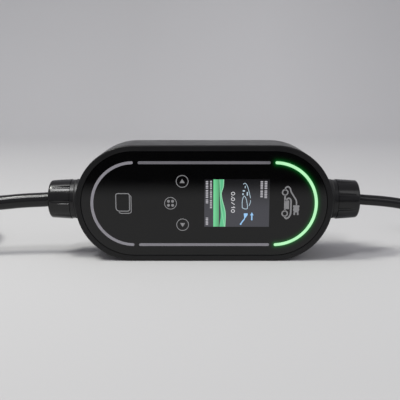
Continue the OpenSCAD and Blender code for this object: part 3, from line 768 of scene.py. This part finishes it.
def glowing(name, colour, strength, spread=0.08, scale=90):
    """A lit patch of the display under its glossy cover."""
    shader = Shader(name)
    slow = shader.noise(scale, 2)
    shader.set(
        Base_Color=rgba(colour, 0.1), Roughness=0.12, Specular_IOR_Level=0.5,
        Emission_Color=shader.mix(slow, rgba(colour, 1 - spread), rgba(colour, 1 + spread)),
        Emission_Strength=strength,
    )
    return shader.material


def ground_material(colour, height):
    """The display's ground, which fades to black upwards."""
    shader = Shader("display_ground")
    _, _, z = shader.axes()
    level = shader.span(z, 1.0, 0.0, (FACE_Z + DISPLAY_Y - 0.2 * height) * MM,
                        (FACE_Z + DISPLAY_Y + 0.45 * height) * MM, True)
    level = shader.math("ADD", level, shader.span(shader.noise(60, 3), -0.08, 0.08))
    shader.set(
        Base_Color=(0.004, 0.004, 0.005, 1), Roughness=0.1, Specular_IOR_Level=0.8,
        Emission_Color=shader.mix(level, rgba(colour, 0.08), rgba(colour, 0.9)), Emission_Strength=1.0,
    )
    return shader.material


def band_material(colour):
    """The green band, paler at its outer edge."""
    shader = Shader("band_green")
    left, right = BAND_X - BAND_WIDTH / 2, BAND_X + BAND_WIDTH / 2
    across = shader.span(shader.axes()[0], 0.0, 1.0, left * MM, right * MM)
    shade = shader.math("ADD", across, shader.span(shader.noise(40, 2), -0.15, 0.15))
    shader.set(
        Base_Color=rgba(colour, 0.1), Roughness=0.12, Specular_IOR_Level=0.5,
        Emission_Color=shader.mix(shade, rgba(colour, 1.25), rgba(colour, 0.60)), Emission_Strength=1.0,
    )
    return shader.material


def marks(bm, x, width, top, bottom, lengths, gap=0.45):
    """A column of short bars in place of writing, with a wider gap after every fifth."""
    y, k = top, 0
    while y - lengths[k % len(lengths)] > bottom:
        long = lengths[k % len(lengths)]
        plate(bm, (x, y - long / 2), width, long)
        y -= long + gap * (2.6 if k % 5 == 4 else 1)
        k += 1


def numerals(bm, left, width, top, pitch):
    """Plain upright numbers turned on their side: 0 . 0 / 1 0."""
    right = left + width
    middle = (left + right) / 2

    def nought(y):
        turns = (2 * math.pi * k / 20 for k in range(21))
        oval = [(middle + width / 2 * math.cos(a), y + pitch * 0.36 * math.sin(a)) for a in turns]
        stroke(bm, oval, 0.6)

    nought(top)
    plate(bm, (left + 0.4, top - pitch * 0.72), 0.8, 0.8)
    nought(top - pitch * 1.4)
    stroke(bm, [(left, top - pitch * 2.2), (right, top - pitch * 2.75)], 0.7)
    one = top - pitch * 3.5
    stroke(bm, [(left, one), (right, one), (right - 1.0, top - pitch * 3.2)], 0.75)
    nought(top - pitch * 4.35)


class CHARGER_OT_display(bpy.types.Operator):
    """Lays the display's picture: ground, green band, marks and simple signs"""

    bl_idname = "charger.display"
    bl_label = "Display"

    def execute(self, context):
        sizes, colours = context.scene.charger_sizes, context.scene.charger_colours
        step = sizes.print_height / MM
        width, height = sizes.display_width / MM, sizes.display_height / MM
        top, bottom = DISPLAY_Y + height / 2 - DISPLAY_BORDER, DISPLAY_Y - height / 2 + DISPLAY_BORDER

        def ground(bm):
            plate(bm, (DISPLAY_X, DISPLAY_Y), width, height, 0.4)

        def band(bm):
            plate(bm, (BAND_X, DISPLAY_Y), BAND_WIDTH, top - bottom)

        def wave(bm):
            inner = [(13.4, bottom), (14.6, -11.0), (14.2, -2.0), (13.6, 8.0), (13.2, top)]
            patch(bm, wave_line(top, bottom) + curve_through(inner, 6))

        def wave_edge(bm):
            stroke(bm, [(x - 0.35, y) for x, y in wave_line(top, bottom)], 0.7)
            thin = [(13.6, top), (14.0, 10.0), (14.6, 0.0), (16.2, -10.0), (17.8, bottom)]
            stroke(bm, curve_through(thin, 6), 0.5)

        for name, draw, material, level in (
            ("display_ground", ground, ground_material(colours.screen, height), 0),
            ("display_band", band, band_material(colours.band), 1),
            ("display_wave", wave, glowing("wave_green", (0.105, 0.475, 0.235), 1.0, 0.2, 70), 1),
            ("display_wave_edge", wave_edge, glowing("wave_pale", (0.30, 0.69, 0.42), 0.9), 2),
            ("display_marks", all_marks, glowing("marks_white", (0.40, 0.39, 0.42), 1.0), 1),
            ("display_numbers", all_numbers, glowing("numbers_white", (0.55, 0.55, 0.57), 1.0), 1),
            ("display_car", car_sign, glowing("car_pale", (0.42, 0.55, 0.64), 1.0), 1),
            ("display_signs", plug_and_arrow, glowing("signs_blue", (0.30, 0.55, 0.85), 1.0), 1),
        ):
            printed(name, draw, material, step, level * step)
        return {"FINISHED"}


def wave_line(top, bottom):
    """The wave's outer edge, from top to bottom."""
    return curve_through([(17.4, top), (17.0, 15.5), (15.4, 9.7), (16.2, 3.5), (18.2, -4.0), (19.0, -9.5),
                          (18.7, bottom)], 6)


def all_marks(bm):
    """The columns of bars at both edges of the picture."""
    marks(bm, 2.5, 2.1, 20.5, 0.4, (0.9, 1.3, 0.7, 1.1))
    marks(bm, 2.5, 2.1, -12.0, -19.0, (0.8, 1.2))
    marks(bm, 6.0, 1.7, 20.7, -5.2, (1.2, 0.8, 1.4, 1.0))
    marks(bm, 50.2, 2.1, 20.4, 5.4, (1.1, 0.9, 1.3))
    marks(bm, 53.8, 2.3, 20.4, 5.4, (0.9, 1.2, 1.0))


def all_numbers(bm):
    """The numbers beside the wave."""
    numerals(bm, 23.8, 2.9, 9.4, 3.55)


def car_sign(bm):
    """A car in thin lines, turned on its side."""
    stroke(bm, curve_through([(33.4, -3.2), (33.3, 1.5), (33.8, 5.0), (35.0, 7.2), (36.4, 5.6), (37.4, 1.8),
                              (38.0, -2.0), (37.6, -4.0), (35.6, -4.2), (33.4, -3.2)], 5), 0.55)
    stroke(bm, curve_through([(34.0, 17.6), (35.6, 18.6), (37.4, 16.6), (38.6, 13.2), (39.8, 8.6),
                              (40.6, 5.4)], 5), 0.5)
    stroke(bm, curve_through([(40.6, 3.6), (40.4, 1.4), (39.2, -1.6)], 5), 0.5)
    for centre, wide, tall in (((34.6, 11.8), 1.9, 1.3), ((33.9, 8.9), 1.2, 1.6), ((37.7, 9.2), 1.1, 3.2),
                               ((35.8, 15.2), 0.7, 2.2)):
        plate(bm, centre, wide, tall, 0.3, 3)


def plug_and_arrow(bm):
    """A small plug on its cable, and an arrow."""
    stroke(bm, curve_through([(32.3, -17.7), (33.6, -15.6), (35.6, -13.0)], 5), 1.0)
    patch(bm, [(35.2, -13.6), (36.1, -12.6), (38.2, -9.6), (38.2, -8.2), (34.8, -8.2), (34.9, -9.6),
               (35.2, -11.4)])
    disc(bm, (32.2, -17.8), 0.75, 16)
    stroke(bm, [(41.9, -14.4), (41.9, -9.4)], 1.1)
    triangle(bm, (41.9, -8.6), 3.0, 2.6)


# Stage

# The camera: picture and focal length in pixels, place, and tilt downwards in degrees
PICTURE, FOCAL = 400, 619.6
CAMERA_PLACE, CAMERA_TILT = (-0.0036, -0.560, 0.1554), 10.66
# The floor: how far it goes, where its backdrop starts to rise, and with what radius
FLOOR_REACH, FLOOR_NEAR, RISE_FROM, RISE_R, RISE_STEPS, RISE_TO = 12.0, -0.6, 1.2, 0.9, 16, 1.0
WORLD_COLOUR, WORLD_STRENGTH = (0.985, 0.97, 1.055, 1), 0.345
# The lamps: name, place, what they face, size, watts, spread in degrees, blue beside full red and green
LAMPS = (
    ("key", (-0.82, -0.14, 1.50), (0.05, 0.0, 0.05), (0.30, 0.30), 11.6, 180, 0.94),
    ("fill", (1.2, -1.2, 1.4), (0.1, 0.0, 0.0), (1.0, 1.0), 3.9, 180, 1.0),
    ("side", (-0.48, -0.52, 1.25), (-0.16, 0.0, 0.05), (0.17, 0.36), 4.9, 180, 1.0),
    ("overhead", (-0.465, -0.06, 1.25), (-0.30, -0.03, 0.0), (0.60, 0.6), 2.9, 180, 1.0),
    ("backdrop", (-0.80, 0.55, 1.9), (-0.80, 1.7, 0.3), (3.0, 0.6), 3.35, 90, 1.05),
)


class CHARGER_OT_stage(bpy.types.Operator):
    """Sets the camera, the floor with its backdrop and the studio lights"""

    bl_idname = "charger.stage"
    bl_label = "Stage"

    def execute(self, context):
        scene = context.scene
        set_camera(scene)
        lay_floor(scene)
        set_light(scene)
        return {"FINISHED"}


def set_camera(scene):
    """The camera, fitted to the outline and the light ring."""
    camera = bpy.data.cameras.new("camera")
    camera.sensor_width = 36
    camera.lens = FOCAL / PICTURE * camera.sensor_width
    camera.clip_start = 0.01
    view = bpy.data.objects.new("camera", camera)
    view.location = CAMERA_PLACE
    view.rotation_euler = (math.radians(90 - CAMERA_TILT), 0, 0)
    scene.collection.objects.link(view)
    scene.camera = view
    scene.view_settings.view_transform = "Standard"


def lay_floor(scene):
    """A floor that rises into a backdrop far behind the charger."""
    turns = (math.pi / 2 * k / RISE_STEPS for k in range(1, RISE_STEPS + 1))
    line = [(FLOOR_NEAR, 0), (RISE_FROM, 0)]
    line += [(RISE_FROM + RISE_R * math.sin(a), RISE_R - RISE_R * math.cos(a)) for a in turns]
    line.append((RISE_FROM + RISE_R, RISE_TO))
    bm = bmesh.new()
    edges = [bm.edges.new([bm.verts.new((x, -FLOOR_REACH, 0)) for x in (-FLOOR_REACH, FLOOR_REACH)])]
    for y, z in line:
        verts, edges = grow(bm, edges)
        for vert in verts:
            vert.co.y, vert.co.z = y, z
    bmesh.ops.recalc_face_normals(bm, faces=bm.faces[:])
    for face in bm.faces:
        face.smooth = True
    mesh = bpy.data.meshes.new("floor")
    bm.to_mesh(mesh)
    bm.free()
    floor = bpy.data.objects.new("floor", mesh)
    scene.collection.objects.link(floor)
    floor.data.materials.append(floor_material(scene.charger_colours.floor))


def set_light(scene):
    """Even light from all round, and the lamps."""
    world = bpy.data.worlds.new("studio")
    world.use_nodes = True
    background = world.node_tree.nodes["Background"]
    background.inputs["Color"].default_value = WORLD_COLOUR
    background.inputs["Strength"].default_value = WORLD_STRENGTH
    scene.world = world
    for name, place, target, size, power, spread, blue in LAMPS:
        lamp = bpy.data.lights.new(name, "AREA")
        lamp.shape = "RECTANGLE"
        lamp.size, lamp.size_y = size
        lamp.energy = power
        lamp.color = (1.0, 1.0, blue)
        lamp.spread = math.radians(spread)
        obj = bpy.data.objects.new(name, lamp)
        obj.location = place
        obj.rotation_euler = (Vector(target) - Vector(place)).to_track_quat("-Z", "Y").to_euler()
        scene.collection.objects.link(obj)


def floor_material(colour):
    """Pale paper, evened out across the picture by painted shade; to glossy rays it is painted near-black in
    front of the charger, a painted dark reflection.
    """
    shader = Shader("floor_paper")
    x, y, _ = shader.axes()
    # Painted shade: the paper is made darker towards the left, by up to 11%, and towards the front, by up to
    # 8%, to even out the lamps' pools of light
    paper = shader.mix(shader.span(x, 0.11, 0.0, -0.25, 0.25), rgba(colour), BLACK)
    paper = shader.mix(shader.span(y, 0.08, 0.0, -0.26, -0.03), paper, BLACK)
    grain = shader.noise(260, 3)
    paper = shader.mix(shader.span(grain, 0.0, 0.04), paper, rgba(colour, 0.8))
    # Painted dark reflection: in glossy rays the floor in front of y −0.32 to −0.50 m is painted near-black,
    # so glossy parts mirror dark there
    near = shader.span(y, 0.0, 1.0, -0.50, -0.32, True)
    rays = shader.node("ShaderNodeLightPath")
    paper_not_painted_dark = shader.math("MAXIMUM", near, shader.math("SUBTRACT", 1.0, rays.outputs["Is Glossy Ray"]))
    shader.set(
        Base_Color=shader.mix(paper_not_painted_dark, (0.01, 0.01, 0.01, 1), paper), Roughness=0.9, Specular_IOR_Level=0.1,
    )
    return shader.bump(grain, 0.05, 0.0005).material


class CHARGER_PT_panel(bpy.types.Panel):
    """Settings and steps of the charger"""

    bl_idname = "CHARGER_PT_panel"
    bl_label = "Portable car charger"
    bl_space_type = "VIEW_3D"
    bl_region_type = "UI"
    bl_category = "Charger"

    def draw(self, context):
        layout = self.layout
        for group in (context.scene.charger_sizes, context.scene.charger_colours):
            column = layout.column(align=True)
            for name in group.__annotations__:
                column.prop(group, name)
        column = layout.column(align=True)
        for step in STEPS:
            column.operator(step.bl_idname)


STEPS = (
    CHARGER_OT_stage, CHARGER_OT_cables, CHARGER_OT_case, CHARGER_OT_face, CHARGER_OT_lights,
    CHARGER_OT_glands, CHARGER_OT_inside, CHARGER_OT_ends, CHARGER_OT_icons, CHARGER_OT_display,
)
CLASSES = (ChargerSizes, ChargerColours, *STEPS, CHARGER_PT_panel)


def register():
    """Makes the add-on's classes and settings known."""
    for item in CLASSES:
        bpy.utils.register_class(item)
    bpy.types.Scene.charger_sizes = PointerProperty(type=ChargerSizes)
    bpy.types.Scene.charger_colours = PointerProperty(type=ChargerColours)


def unregister():
    """Takes the add-on's classes and settings away."""
    del bpy.types.Scene.charger_colours
    del bpy.types.Scene.charger_sizes
    for item in reversed(CLASSES):
        bpy.utils.unregister_class(item)


def main():
    """Builds the whole scene."""
    register()
    bpy.ops.charger.stage()
    bpy.ops.charger.cables()
    bpy.ops.charger.case()
    bpy.ops.charger.face()
    bpy.ops.charger.lights()
    bpy.ops.charger.glands()
    bpy.ops.charger.inside()
    bpy.ops.charger.ends()
    bpy.ops.charger.icons()
    bpy.ops.charger.display()


if __name__ == "__main__":
    main()
